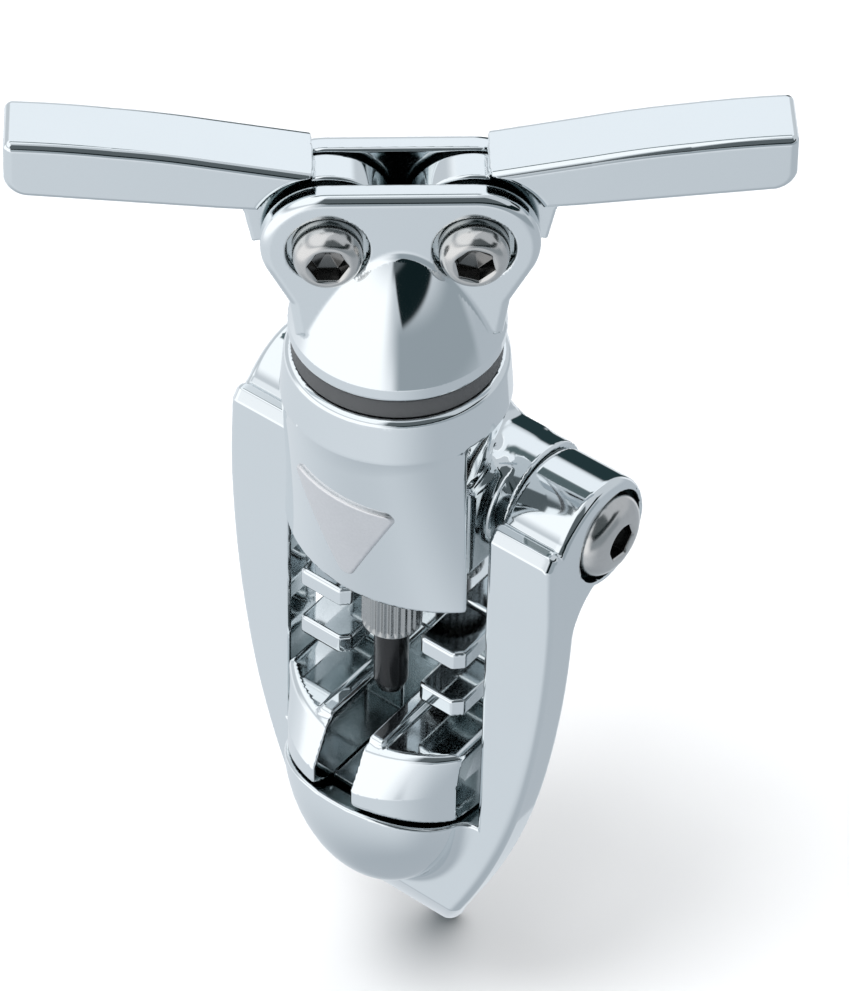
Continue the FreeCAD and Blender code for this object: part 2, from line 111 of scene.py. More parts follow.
class Finish(Board):
    # a material round its Principled shader
    def __init__(self, name, **constants):
        self.material = bpy.data.materials.new(name)
        self.material.use_nodes = True
        super().__init__(self.material.node_tree)
        self.shader = self.tree.nodes["Principled BSDF"]
        for socket, value in constants.items():
            self.shader.inputs[socket].default_value = value

    def feed(self, socket, wire):
        self.tree.links.new(wire.socket, self.shader.inputs[socket])

    def speckle(self, scale, detail=2.0, stretch=(1, 1, 1)):
        spot = self.node("ShaderNodeMapping", inputs={
            "Vector": self.node("ShaderNodeTexCoord", output="Object"), "Scale": stretch})
        return self.node("ShaderNodeTexNoise",
                         inputs={"Vector": spot, "Scale": scale, "Detail": detail})

    def hollows(self, ragged, reach, bare=0.52, deep=0.1, alone=False):
        # 1 deep in a corner or a bore, 0 on open faces, with an uneven edge; alone heeds only the
        # piece's own hollows
        clear = self.node("ShaderNodeAmbientOcclusion", {"samples": 8, "only_local": alone},
                          {"Distance": reach}, 1)
        return self.rising(clear + (ragged - 0.5) * 0.15, bare, deep)

    def relief(self, height, distance, strength=1.0):
        self.feed("Normal", self.node("ShaderNodeBump", inputs={
            "Height": height, "Distance": distance, "Strength": strength}))


def polished(name, tone, dullness, reach=0.006):
    # mirror plate: a faint cloud of handling haze, a slow polishing swell, and painted shade in
    # the hollows, where the colour is darkened; there the plate is also grainy and duller, as the
    # polishing wheel missed them
    plate = Finish(name, Metallic=1.0)
    haze = plate.speckle(90, 3)
    marks = plate.speckle(700, 1, (1, 1, 0.25))
    grain = plate.speckle(4200, 2)
    paintedShadeHollow = plate.hollows(haze, reach)
    dim = tuple(c * 0.965 for c in tone)
    shade = plate.tint(haze, dim, tone)
    # painted shade: deep in hollows and bores the colour is darkened to a dark teal
    plate.feed("Base Color", plate.tint(paintedShadeHollow, shade, (0.17, 0.225, 0.235)))
    plate.feed("Roughness", haze * 0.03 + marks * 0.02 + paintedShadeHollow * (grain * 0.16 + 0.06) + dullness)
    plate.relief(plate.speckle(120, 1) * 0.6 + paintedShadeHollow * grain * 0.5, 0.00002, 0.3)
    return plate.material


def worked(name, tone, roughness, grain, stretch=(1, 1, 1), metallic=1.0, depth=0.00001,
           paintedShadeHollow=(0.0025,), paintedShadeLevel=0.16):
    # bare or coloured steel with a fine grain that breaks up its shine, and painted shade that
    # darkens its colour in hollows and bores
    steel = Finish(name, Metallic=metallic)
    fine = steel.speckle(grain, 4, stretch)
    slow = steel.speckle(150, 2)
    shade = tuple(c * 0.8 for c in tone)
    bright = steel.tint(fine * 0.6 + slow * 0.4, shade, tone)
    # painted shade: the colour in hollows and bores, a share of the tone
    dark = tuple(c * paintedShadeLevel for c in tone)
    steel.feed("Base Color", steel.tint(steel.hollows(slow, *paintedShadeHollow), bright, dark))
    steel.feed("Roughness", fine * 0.14 + slow * 0.08 + roughness)
    steel.relief(fine, depth, 0.6)
    return steel.material


chromeTone = (0.83, 0.865, 0.88)
finishes = {
    "chrome_body": polished("chromeBody", chromeTone, 0.035),
    "chrome_bail": polished("chromeBail", chromeTone, 0.03),
    "chrome_head": polished("chromeHead", chromeTone, 0.03),
    "chrome_wings": polished("chromeWings", chromeTone, 0.035),
    # the bolts' own hollows, such as the socket, get painted shade over a wider reach
    "bolt_steel": worked("boltSteel", (0.70, 0.69, 0.675), 0.07, 1500, depth=0.000002,
                         paintedShadeHollow=(0.006, 0.8, 0.5, True), paintedShadeLevel=0.3),
    "badge_satin": worked("badgeSatin", (0.93, 0.92, 0.93), 0.27, 4200, depth=0.00001),
    "pin_black": worked("pinBlackOxide", (0.012, 0.013, 0.015), 0.1, 1600, metallic=0.2),
    "sleeve_knurl": worked("sleeveSatin", (0.5, 0.51, 0.51), 0.16, 2600),
    "spindle_steel": worked("spindleSteel", (0.5, 0.5, 0.49), 0.28, 1800),
    "washer_steel": worked("washerSteel", (0.55, 0.56, 0.56), 0.26, 2200),
    "ring_grey": worked("ringGrey", (0.13, 0.135, 0.14), 0.42, 2000, metallic=0.3),
}
print("finishes ready:", len(finishes))


def meshPiece(name, points, faces, body, slot, replaces, normals=None):
    # points in millimetres, faces as rows of four; degenerate rows at poles are welded away
    mesh = bpy.data.meshes.new(name)
    mesh.vertices.add(len(points))
    mesh.vertices.foreach_set("co", (points * 0.001).astype(np.float32).ravel())
    mesh.loops.add(faces.size)
    mesh.loops.foreach_set("vertex_index", faces.astype(np.int32).ravel())
    mesh.polygons.add(len(faces))
    mesh.polygons.foreach_set("loop_start", np.arange(0, faces.size, 4, dtype=np.int32))
    mesh.update(calc_edges=True)
    if normals is None:  # welds seams and poles, and turns every face outwards
        work = bmesh.new()
        work.from_mesh(mesh)
        bmesh.ops.remove_doubles(work, verts=work.verts, dist=2e-6)
        bmesh.ops.recalc_face_normals(work, faces=work.faces)
        work.to_mesh(mesh)
        work.free()
    mesh.shade_smooth()
    if normals is not None:
        mesh.normals_split_custom_set_from_vertices(normals.astype(np.float32))
    made = bpy.data.objects.new(name, mesh)
    scene.collection.objects.link(made)
    if normals is None:
        weigh = made.modifiers.new("evenShading", "WEIGHTED_NORMAL")
        weigh.weight = 80
        weigh.keep_sharp = True
    mesh.materials.append(finishes[slot])
    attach(made, body)
    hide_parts(*replaces)
    return made


def meet(a, b, r=0.0):
    # inside both fields, the edge between them rounded to radius r:
    # where both are within r of their faces, the distance to a circle of radius r, else the larger
    if not r:
        return np.maximum(a, b)
    return np.minimum(-r, np.maximum(a, b)) + np.hypot(np.maximum(a + r, 0), np.maximum(b + r, 0))


def merge(a, b, r=0.0):
    # inside either field, with a fillet of radius r in the corner: the rounded meeting, negated
    return -meet(-a, -b, r)


def carve(a, b, r=0.0):
    # inside a and outside b
    return meet(a, -b, r)


def slab(u, low, high):
    # distance outside the run from low to high along u
    return np.abs(u - (low + high) / 2) - (high - low) / 2


def outlineField(u, v, outline):
    # distance to a closed outline, negative inside: the least distance to any of its runs and arcs,
    # the sign from how many of them a ray towards +u crosses. (x, y, r) is reached by an arc of
    # radius r, bending left when r is positive and right when it is negative.
    u, v = np.broadcast_arrays(u, v)
    near, inside = np.full(u.shape, 1e9), np.zeros(u.shape, bool)
    for n, stop in enumerate(outline):
        px, py = outline[n - 1][:2]
        qx, qy = stop[:2]
        dx, dy = qx - px, qy - py
        long = math.hypot(dx, dy)
        if len(stop) == 2:
            t = np.clip(((u - px) * dx + (v - py) * dy) / long**2, 0, 1)
            near = np.minimum(near, np.hypot(u - px - t * dx, v - py - t * dy))
            if dy:
                inside ^= ((py > v) != (qy > v)) & (u < dx * (v - py) / dy + px)
            continue
        r = abs(stop[2])
        side = math.copysign(1, stop[2])
        reach = math.sqrt(max(r * r - long * long / 4, 0)) * side
        mx, my = -dy / long, dx / long
        cx, cy = (px + qx) / 2 + mx * reach, (py + qy) / 2 + my * reach
        mx, my = -mx * side, -my * side  # from the centre to the middle of the arc
        least = math.cos(math.asin(min(long / 2 / r, 1)))
        away = np.hypot(u - cx, v - cy)
        facing = (u - cx) * mx + (v - cy) * my >= least * away
        ends = np.minimum(np.hypot(u - px, v - py), np.hypot(u - qx, v - qy))
        near = np.minimum(near, np.where(facing, np.abs(away - r), ends))
        across = v - cy
        half = np.sqrt(np.maximum(r * r - across**2, 0))
        for way in (half, -half):
            onArc = (np.abs(across) < r) & (way * mx + across * my > least * r)
            inside ^= onArc & (u < cx + way)
    return np.where(inside, -near, near)


# grid cells past the box, slope step, least slope, longest slide (all but the slope in cells)
skinning = {"before": 2.013, "after": 2, "step": 0.05, "leastSlope": 0.2, "slide": 0.6, "slides": 3}


def skinOf(field, low, high, cell):
    # The surface where a field is zero. Every grid cell that the surface passes through gets one
    # point, the mean of where its edges cross, and each crossed edge joins its four cells in a
    # face. The points then slide down the field's slope until it is zero, and the slope there is
    # the shading normal.
    k = skinning
    axes = [np.arange(lo - k["before"] * cell, hi + k["after"] * cell, cell)
            for lo, hi in zip(low, high)]
    x, y, z = np.meshgrid(*axes, indexing="ij", sparse=True)
    values = np.broadcast_to(field(x, y, z), [len(a) for a in axes])
    inside = values < 0
    shape = np.array(inside.shape)
    total = int(shape.prod())
    sums, hits = np.zeros((3, total)), np.zeros(total)
    quads = []
    for axis in range(3):
        other = [(axis + 1) % 3, (axis + 2) % 3]
        here = [slice(None)] * 3
        there = [slice(None)] * 3
        here[axis], there[axis] = slice(None, -1), slice(1, None)
        crossed = np.stack(np.nonzero(inside[tuple(here)] != inside[tuple(there)]))
        ahead = crossed.copy()
        ahead[axis] += 1
        a, b = values[tuple(crossed)], values[tuple(ahead)]
        spot = crossed.astype(float)
        spot[axis] += a / (a - b)
        ring = []
        for i, j in ((-1, -1), (0, -1), (0, 0), (-1, 0)):
            own = crossed.copy()
            own[other[0]] += i
            own[other[1]] += j
            flat = np.ravel_multi_index(tuple(own), shape)
            ring.append(flat)
            hits += np.bincount(flat, minlength=total)
            for n in range(3):
                sums[n] += np.bincount(flat, weights=spot[n], minlength=total)
        ring = np.stack(ring, axis=1)
        quads.append(np.where((a < 0)[:, None], ring, ring[:, ::-1]))
    used = np.nonzero(hits)[0]
    index = np.zeros(total, np.int64)
    index[used] = np.arange(len(used))
    start = np.array([a[0] for a in axes])
    points = (sums[:, used] / hits[used]).T * cell + start
    faces = index[np.concatenate(quads)]
    step = cell * k["step"]

    def slope(at):
        parts = []
        for n in range(3):
            ahead, behind = at.copy(), at.copy()
            ahead[:, n] += step
            behind[:, n] -= step
            parts.append((field(*ahead.T) - field(*behind.T)) / (2 * step))
        return np.stack(parts, axis=1)

    for _ in range(k["slides"]):
        lean = slope(points)
        steep = np.maximum((lean**2).sum(axis=1), k["leastSlope"])
        move = -(field(*points.T) / steep)[:, None] * lean
        far = np.linalg.norm(move, axis=1, keepdims=True)
        points = points + move * np.minimum(1, k["slide"] * cell / np.maximum(far, 1e-9))
    lean = slope(points)
    return points, faces, lean / np.maximum(np.linalg.norm(lean, axis=1, keepdims=True), 1e-9)


bail = {
    "pivot": (7.8, 23.9), "boss": 5.25, "front": -1.2, "rear": 3.2, "ledge": 26.1,
    "half": 17.9, "inner": 11.0, "swing": 36.0, "bowl": (9.8, 7.7, 15.0), "bowlRim": -8.2,
    "tip": (10.2, -40.3), "bore": 2.56, "sink": 4.45, "sinkDeep": 2.3, "edge": 0.9, "cell": 0.28,
}


def bailField(x, y, z):
    # two arms and a pointed foot: the side outline and the front outline at once, joined to an
    # ellipsoid bowl, less the cylinder that clears the casting and the two bolt holes
    s = bail
    py, pz = s["pivot"]
    r = s["boss"]
    low = math.radians(-115)
    side = [(s["front"], s["ledge"]), (s["front"], -24.5), (s["tip"][0] - 0.8, s["tip"][1], 70),
            (s["tip"][0] + 0.8, s["tip"][1] + 0.6, 1.2), (s["rear"], -21.5, -34),
            (s["rear"], pz - 9.4), (py + r * math.cos(low), pz + r * math.sin(low), -5),
            (py + r, pz, r), (5.9, pz + 6.1, 6.6), (1.3, s["ledge"] + 1.3, 7.5),
            (0.8, s["ledge"] + 0.8), (0.3, s["ledge"] + 1.2), (-0.4, s["ledge"] + 1.1)]
    h = s["half"]
    front = [(-1.2, s["tip"][1] - 0.6), (1.2, s["tip"][1] - 0.6, 3), (9.9, -22.7),
             (15.8, -3.7, 80), (h, 20, 134), (h - 0.4, 31), (0.4 - h, 31), (-h, 20),
             (-15.8, -3.7, 134), (-9.9, -22.7, 80)]
    arms = meet(outlineField(y, z, side), outlineField(x, z, front), s["edge"])
    px, qy, qz = x, y - s["front"], z - s["bowlRim"]
    a, b, c = s["bowl"]
    near = np.sqrt((px / a)**2 + (qy / b)**2 + (qz / c)**2)
    steep = np.sqrt((px / a**2)**2 + (qy / b**2)**2 + (qz / c**2)**2)
    bowl = near * (near - 1) / np.maximum(steep, 1e-6)
    body = merge(arms, bowl, 1.4)
    axle = np.hypot(y - py, z - pz)
    window = meet(axle - s["swing"], np.abs(x) - s["inner"])
    body = carve(body, window, 0.45)
    body = carve(body, meet(axle - s["sink"], (h - s["sinkDeep"]) - np.abs(x)), 0.15)
    return carve(body, axle - s["bore"])


def castPiece(name, field, low, high, cell, body, slot, replaces):
    points, faces, normals = skinOf(field, low, high, cell)
    made = meshPiece(name, points, faces, body, slot, replaces, normals)
    print(name, len(faces) * 2, "triangles")
    return made


castPiece("bailFork", bailField, (-18, -9.1, -41), (18, 13.3, 31), bail["cell"], "bail",
          "chrome_bail", ["bail"])

casting = {
    "pivot": (7.8, 23.9), "baseTop": -1.2, "baseRear": 9.6, "baseSide": -2.4, "swing": 35.6,
    "ridgeHalf": 3.7, "ridgeTop": -0.5, "slotHalf": 2.1, "slotFloor": -8.8,
    "spineFront": 4.6, "spineHalf": 8.7, "barrel": 5.6, "barrelHalf": 10.5,
    "collar": 10.0, "collarTop": 41.9, "crease": 37.6, "apronFoot": 17.7, "apronHalf": 10.4,
    "hub": 6.6, "bore": 5.0, "sleeveBore": 3.3, "tap": 2.5,
    "toothInner": 4.1, "toothOuter": 8.7, "toothFront": -1.46, "toothTop": 4.0,
    "toothPitch": 6.1, "toothThick": 2.1, "toothExtra": 0.7, "cell": 0.33,
    "plateFront": -6.8, "plateLean": 3.2, "plateTaper": 0.7,  # the apron's lean up to the crease
    "baseHalf": 10, "skirtDrop": 4.4, "skirtLean": 2.1, "skirtTaper": 0.5,  # the base's lean
    "webHalf": 4.5, "shoulderHalf": 8.2, "boreFloor": 19.3, "sleeveFloor": 16.7, "tapEnd": 3.5,
}
badge = {
    "outline": [(-3.55, 31.75, -0.6), (4.9, 30.55), (5.35, 29.65, -0.6), (1.15, 21.1),
                (-0.05, 21.15, -0.7), (-4.1, 30.95)],
    "seatIn": 0.4, "seatBack": 5.9, "over": 0.14, "proud": 0.33, "back": 5.92, "edge": 0.22,
    "cell": 0.14,
}


def segment(x, y, front, half, side):
    # a circle's segment in plan: the radius is half the sum of half width squared over depth and
    # depth, and the distance is that to the circle's centre less the radius
    depth = side - front
    radius = (half**2 + depth**2) / (2 * depth)
    return np.hypot(x, y - front - radius) - radius


def leaningPlate(x, y, z, grow=0.0):
    # a segment whose front moves out and whose half width shrinks evenly from foot to crease
    s = casting
    t = np.clip((z - s["apronFoot"]) / (s["crease"] - s["apronFoot"]), 0, 1)
    front = s["plateFront"] - s["plateLean"] * t - grow
    half = s["apronHalf"] - s["plateTaper"] * t + grow * s["plateTaper"]
    return segment(x, y, front, half, s["baseSide"])


def castingField(x, y, z):
    # the base block, spine, barrel, collar, leaning apron and four teeth, filleted into each
    # other, less the rivet slot, bores and badge seat
    s = casting
    py, pz = s["pivot"]
    axle = np.hypot(y - py, z - pz)
    rho = np.hypot(x, y)
    t = np.clip((s["baseTop"] - z) / s["skirtDrop"], 0, 1)
    front, half = s["plateFront"] - s["skirtLean"] * t, s["baseHalf"] - s["skirtTaper"] * t
    plan = segment(x, np.minimum(y, s["baseSide"]), front, half, s["baseSide"])
    base = meet(plan, z - s["baseTop"], 0.7)
    base = meet(base, y - s["baseRear"], 2.5)
    base = meet(base, axle - s["swing"], 0.5)
    ridges = meet(meet(np.abs(x) - s["ridgeHalf"], z - s["ridgeTop"], 0.3), -6.0 - y, 0.5)
    ridges = meet(meet(ridges, -3 - z), y - s["spineFront"] - 1)
    base = merge(base, ridges, 0.35)

    spine = meet(np.abs(x) - s["spineHalf"], slab(y, s["spineFront"], s["baseRear"]), 0.8)
    spine = meet(spine, slab(z, -3.2, 28.7), 0.4)
    barrel = meet(axle - s["barrel"], np.abs(x) - s["barrelHalf"], 0.35)
    foot = [(0, s["apronFoot"] + 1), (s["baseRear"], s["apronFoot"] + 1),
            (py + s["barrel"] * 0.97, pz + s["barrel"] * 0.25)]
    web = foot + [(s["collar"] - 0.3, s["collarTop"] - 8), (0, s["collarTop"] - 8)]
    web = meet(outlineField(y, z, web), np.abs(x) - s["webHalf"], 1.0)
    shoulder = foot + [(py + s["barrel"] * 0.6, pz + s["barrel"] * 0.8), (0, pz + s["barrel"])]
    shoulder = meet(outlineField(y, z, shoulder), np.abs(x) - s["shoulderHalf"], 0.8)
    hub = meet(rho - s["hub"], slab(z, s["apronFoot"] + 0.5, s["collarTop"] - 1.5), 0.3)
    collarSide = [(-4, s["crease"] - 7), (8.2, s["crease"] - 7), (s["collar"], s["crease"]),
                  (9.7, s["collarTop"] - 0.6), (9.1, s["collarTop"], 0.7), (-4, s["collarTop"])]
    collar = outlineField(rho, z, collarSide)
    apron = meet(leaningPlate(x, y, z), y - s["baseSide"], 0.5)
    apron = meet(apron, s["apronFoot"] - z, 0.4)
    apron = meet(apron, z - s["crease"] + 0.2)

    solid = spine
    for piece, fillet in ((barrel, 0.8), (shoulder, 0.8), (web, 1.2), (hub, 0.6), (collar, 2.6),
                          (apron, 0.25), (base, 0.8)):
        solid = merge(solid, piece, fillet)

    for side, outer, lead, trail in ((1, s["toothOuter"], 0.35, 0.9),
                                     (-1, s["toothOuter"] + s["toothExtra"], 0.8, 0.25)):
        inner, nose = s["toothInner"], s["toothFront"]
        plan = [(inner, nose + lead), (inner + lead, nose), (outer - trail, nose),
                (outer, nose + trail), (outer, s["spineFront"] + 1), (inner, s["spineFront"] + 1)]
        plan = outlineField(x * side, y, plan)
        for row in (0, 1):
            top = s["toothTop"] + row * s["toothPitch"]
            tooth = meet(plan, slab(z, top - s["toothThick"], top), 0.28)
            solid = merge(solid, tooth, 0.4)

    slot = meet(meet(np.abs(x) - s["slotHalf"], y - s["spineFront"]), slab(z, s["slotFloor"], 3.8))
    solid = carve(solid, slot, 0.3)
    solid = carve(solid, meet(rho - s["bore"], s["boreFloor"] - z), 0.2)
    solid = carve(solid, meet(rho - s["sleeveBore"], s["sleeveFloor"] - z), 0.2)
    solid = carve(solid, meet(axle - s["tap"], s["tapEnd"] - np.abs(x)), 0.1)
    seat = meet(outlineField(x, z, badge["outline"]) + badge["seatIn"], y + badge["seatBack"])
    return carve(solid, seat, 0.12)


castPiece("toolCasting", castingField, (-10.6, -10.1, -12), (10.6, 13.5, 42), casting["cell"],
          "body", "chrome_body", ["body_casting"])


def badgeField(x, y, z):
    # the badge's triangle, a little proud of the leaning plate
    triangle = outlineField(x, z, badge["outline"]) - badge["over"]
    face = leaningPlate(x, y, z, badge["proud"])
    return meet(meet(triangle, face, badge["edge"]), y + badge["back"])


castPiece("badgeTriangle", badgeField, (-5, -10.4, 20), (6, -5.8, 32.2), badge["cell"], "body",
          "badge_satin", ["badge"])

head = {
    "yaw": 39.5, "eyeX": 6.03, "eyeZ": 56.4, "eyeRound": 5.55, "face": 4.24, "slot": 2.1,
    "slotFloor": 49.9, "neck": 9.3, "rim": 43.93, "sink": 3.46, "hole": 2.02, "socket": 4.95,
    "seatDeep": 0.7, "edge": 0.85, "cell": 0.2,
}
turn = math.radians(head["yaw"])
headRight, headBack = (math.cos(turn), math.sin(turn)), (-math.sin(turn), math.cos(turn))


def onEye(angle, radius):
    # the point of a circle round the right eye at an angle from the head's right
    a = math.radians(angle)
    return head["eyeX"] + radius * math.cos(a), head["eyeZ"] + radius * math.sin(a)


def headField(x, y, z):
    # two cheek plates and a pointed bell, less the slot for the wings and the bolt seats
    s = head
    across = x * headRight[0] + y * headRight[1]
    deep = x * headBack[0] + y * headBack[1]
    r = s["eyeRound"]
    cheek = onEye(-25, r)
    plate = [(-8.7, 46.6), (8.7, 46.6), (9.2, 50.4), cheek, (s["eyeX"], s["eyeZ"] + r, r),
             (-s["eyeX"], s["eyeZ"] + r), (-cheek[0], cheek[1], r), (-9.2, 50.4)]
    plate = meet(outlineField(across, z, plate), np.abs(deep) - s["face"], s["edge"])
    rho = np.hypot(x, y)
    n, m = s["neck"], s["rim"]
    bell = [(-4, m), (n - 0.4, m), (n, m + 0.4, 0.45), (n, m + 1.4), (s["face"], 56.0, 40),
            (1.6, 59.6, 40), (-1.6, 59.6)]
    solid = merge(plate, outlineField(rho, z, bell), 0.3)
    solid = carve(solid, meet(np.abs(deep) - s["slot"], s["slotFloor"] - z), 0.35)
    eye = np.hypot(np.abs(across) - s["eyeX"], z - s["eyeZ"])
    solid = carve(solid, meet(eye - s["sink"], deep + s["face"] - s["seatDeep"]), 0.18)
    solid = carve(solid, eye - s["hole"], 0.1)
    return carve(solid, meet(rho - s["socket"], z - 48.4), 0.15)


castPiece("owlHead", headField, (-11.5, -11.5, 43.7), (11.5, 11.5, 62.1), head["cell"], "head",
          "chrome_head", ["head_casting"])

wing = {
    "front": 2.72, "rear": 3.45, "tang": 1.55, "hub": 5.7, "bore": 2.06, "inner": 6.35,
    "edge": 0.75, "cell": 0.17,
}


def wingField(side):
    # a thick curved blade on a thin tang with a round hub; side is 1 for the right wing
    def field(x, y, z):
        s = wing
        across = (x * headRight[0] + y * headRight[1]) * side
        deep = x * headBack[0] + y * headBack[1]
        blade = [(*onEye(27, s["inner"]), -s["inner"]), (14.6, 59.5), (30.7, 61.1),
                 (32.4, 62.9, 2.2), (32.3, 66.25), (31.7, 66.74, 0.7), (23.5, 65.95, 90),
                 (15.4, 64.65, 90), (7.3, 63.1), onEye(79, s["inner"])]
        tang = [(head["eyeX"], head["eyeZ"]), onEye(-12, s["inner"]), (12.8, 57.9),
                (14.6, 59.6, -1.9), (14.6, 62.5), (7.3, 62.9)]
        blade = meet(outlineField(across, z, blade), slab(deep, -s["front"], s["rear"]), s["edge"])
        web = meet(outlineField(across, z, tang), np.abs(deep) - s["tang"], 0.3)
        eye = np.hypot(across - head["eyeX"], z - head["eyeZ"])
        web = merge(web, meet(eye - s["hub"], np.abs(deep) - s["tang"], 0.3))
        return carve(merge(blade, web, 0.4), eye - s["bore"], 0.15)
    return field


for side, name in ((1, "right"), (-1, "left")):
    ends = [np.array([a * headRight[0] + b * headBack[0], a * headRight[1] + b * headBack[1]])
            for a in (side * 0.3, side * 32.5) for b in (-2.8, 3.55)]
    low, high = np.min(ends, axis=0), np.max(ends, axis=0)
    castPiece(f"wing{name.title()}", wingField(side), (*low, 50.7), (*high, 66.9), wing["cell"],
              f"{name}_wing", "chrome_wings", [f"wing_{name}"])


def eased(profile, radius=0.15, steps=5):
    # the profile with each inner corner replaced by a short arc: a quadratic curve between the
    # points one radius before and after the corner
    made = [profile[0]]
    for before, corner, after in zip(profile, profile[1:], profile[2:]):
        corner = np.array(corner, float)
        back, ahead = np.array(before) - corner, np.array(after) - corner
        reach = [min(radius, np.linalg.norm(v) * 0.45) / np.linalg.norm(v) for v in (back, ahead)]
        t = np.linspace(0, 1, steps)[:, None]
        made += [tuple(p) for p in (1 - t)**2 * (corner + back * reach[0])
                 + 2 * t * (1 - t) * corner + t**2 * (corner + ahead * reach[1])]
    return np.array(made + [profile[-1]], float)


def lathe(profile, seat, axis, around=96, shape=None, zero=0.0):
    # a profile of (radius, height) carried round an axis: the point at angle a is the seat plus
    # height along the axis plus radius times the turned sideways direction, and shape may change
    # radius and height by angle
    axis = np.array(axis, float)
    lift = np.array((0, 0, 1.0)) if abs(axis[2]) < 0.9 else np.array((0, 1.0, 0))
    right = np.cross(lift, axis)
    right /= np.linalg.norm(right)
    up = np.cross(axis, right)
    a = np.linspace(0, 2 * np.pi, around + 1)[None, :]
    r, h = profile[:, :1] + 0 * a, profile[:, 1:] + 0 * a
    if shape:
        r, h = shape(r, h, a)
    points = (np.array(seat) + h[..., None] * axis
              + (r * np.cos(a + zero))[..., None] * right + (r * np.sin(a + zero))[..., None] * up)
    rows, columns = r.shape
    first = (np.arange(rows - 1)[:, None] * columns + np.arange(columns - 1)).ravel()
    faces = np.stack([first, first + 1, first + columns + 1, first + columns], axis=1)
    return points.reshape(-1, 3), faces


bolt = {
    "key": 1.5, "ring": 1.26, "lip": 1.2, "crown": 0.66, "socket": 1.7,  # ring, lip: parts of key
    "bail": (4.05, 3.1, 2.5, 12.2), "eye": (2.95, 2.7, 2.0, 7.6),  # head radius, height; shank
}


def buttonBolt(name, seat, axis, sizes, body, node, zero):
    # a domed head with a six-sided socket, its shank behind: the socket's rows are pulled from a
    # circle to a hexagon, whose radius at angle a is the half width over the cosine of the angle
    # from the nearest flat's middle
    radius, high, shank, long = sizes
    key, crown = bolt["key"], high * bolt["crown"]
    ring = key * bolt["ring"]
    dome = [(ring + (radius - ring) * math.cos(v), high - crown + crown * math.sin(v))
            for v in np.linspace(0, np.pi / 2, 14)]
    floor = high - bolt["socket"]
    inner = eased([(key * bolt["lip"], high), (key, high - 0.16), (key, floor), (0.35, floor - 0.3),
                   (0, floor - 0.32)], 0.07, 4)
    lip = [(0, -long), (shank - 0.3, -long), (shank, -long + 0.3), (shank, 0), (radius - 0.1, 0),
           (radius, 0.12)]
    profile = np.concatenate([eased(lip, 0.08, 4), np.array(dome), inner])
    socket = np.zeros(len(profile))
    socket[-len(inner):] = 1

    def hexagon(r, h, a):
        flat = (a + np.pi / 6) % (np.pi / 3) - np.pi / 6
        grow = 1 / np.cos(flat)
        pull = socket[:, None] * (h < high - 0.08)
        return r * (1 + (grow - 1) * pull), h

    points, faces = lathe(profile, seat, axis, 120, hexagon, zero)
    return meshPiece(name, points, faces, body, "bolt_steel", [node])


def headPoint(across, deep, z):
    # a point given along the head's right, its back and the tool's height
    return (across * headRight[0] + deep * headBack[0],
            across * headRight[1] + deep * headBack[1], z)


def hoop(inner, outer, low, high, soften, steps):
    # the profile of a flat ring: a rectangle with softened corners
    corners = [(inner, low), (outer, low), (outer, high), (inner, high), (inner, low)]
    return eased(corners, soften, steps)


upward, origin = (0, 0, 1), (0, 0, 0)
headAxis = (*headBack, 0)
faceWay = (-headBack[0], -headBack[1], 0)
washer = {"thick": 0.3, "bail": (2.52, 4.9), "wing": (2.02, 4.6), "seatUp": 0.25}

seatX = bail["half"] - bail["sinkDeep"] + washer["seatUp"]
for side, name, zero in ((1, "right", 0.35), (-1, "left", 0.1)):
    buttonBolt(f"bailBolt{name.title()}", (side * seatX, *bail["pivot"]), (side, 0, 0),
               bolt["bail"], "body", f"bail_bolt_{name}", zero)
    profile = hoop(*washer["bail"], 0, washer["thick"], 0.06, 4)
    points, faces = lathe(profile, (side * casting["barrelHalf"], *bail["pivot"]), (side, 0, 0))
    meshPiece(f"bailWasher{name.title()}", points, faces, "body", "washer_steel",
              [f"bail_washer_{name}"])
for side, name, zero in ((1, "right", math.radians(12)), (-1, "left", math.radians(30))):
    eye = side * head["eyeX"]
    seat = headPoint(eye, head["seatDeep"] - head["face"], head["eyeZ"])
    buttonBolt(f"eyeBolt{name.title()}", seat, faceWay, bolt["eye"], "head", f"wing_bolt_{name}",
               zero)
    for where, start in (("front", -head["slot"]), ("rear", head["slot"] - washer["thick"])):
        profile = hoop(*washer["wing"], 0, washer["thick"], 0.06, 4)
        points, faces = lathe(profile, headPoint(eye, start, head["eyeZ"]), headAxis)
        meshPiece(f"wingWasher{name.title()}{where.title()}", points, faces, "head", "washer_steel",
                  [f"wing_washer_{name}_{where}"])

grub = {"radius": 1.6, "half": 1.9, "key": 0.75, "keyFloor": 0.6, "deep": 7.1, "z": 46.9}
r, h, key = grub["radius"], grub["half"], grub["key"]
profile = eased([(0, -h), (r - 0.25, -h), (r, 0.25 - h), (r, h - 0.2), (r - 0.2, h),
                 (key + 0.12, h), (key, h - 0.12), (key, grub["keyFloor"]),
                 (0, grub["keyFloor"] - 0.2)], 0.08, 4)
points, faces = lathe(profile, headPoint(0, grub["deep"], grub["z"]), headAxis, 72)
meshPiece("spindleGrub", points, faces, "head", "bolt_steel", ["spindle_grub_screw"])

ring = {"inner": 5.08, "outer": 9.05, "low": 42.0, "high": 43.9}
points, faces = lathe(hoop(*ring.values(), 0.12, 5), origin, upward, 144)
meshPiece("thrustRing", points, faces, "head", "ring_grey", ["thrust_ring"])

thread = {"radius": 4.93, "root": 4.6, "pitch": 1.25, "depth": 0.5, "low": 20.5, "high": 42.2,
          "rows": 160, "top": 48.2, "socket": 2.26, "socketTop": 27.4}


def threadWave(r, h, a):
    # the radius dips by a rounded saw wave of height over pitch less the angle's share of a turn
    wave = 0.5 - 0.5 * np.cos(2 * np.pi * (h / thread["pitch"] - a / (2 * np.pi)))
    fade = np.clip((h - thread["low"] - 0.4) / 1.2, 0, 1) * np.clip(thread["high"] - h, 0, 1)
    return np.where(r > 4.8, r - thread["depth"] * wave * fade, r), h


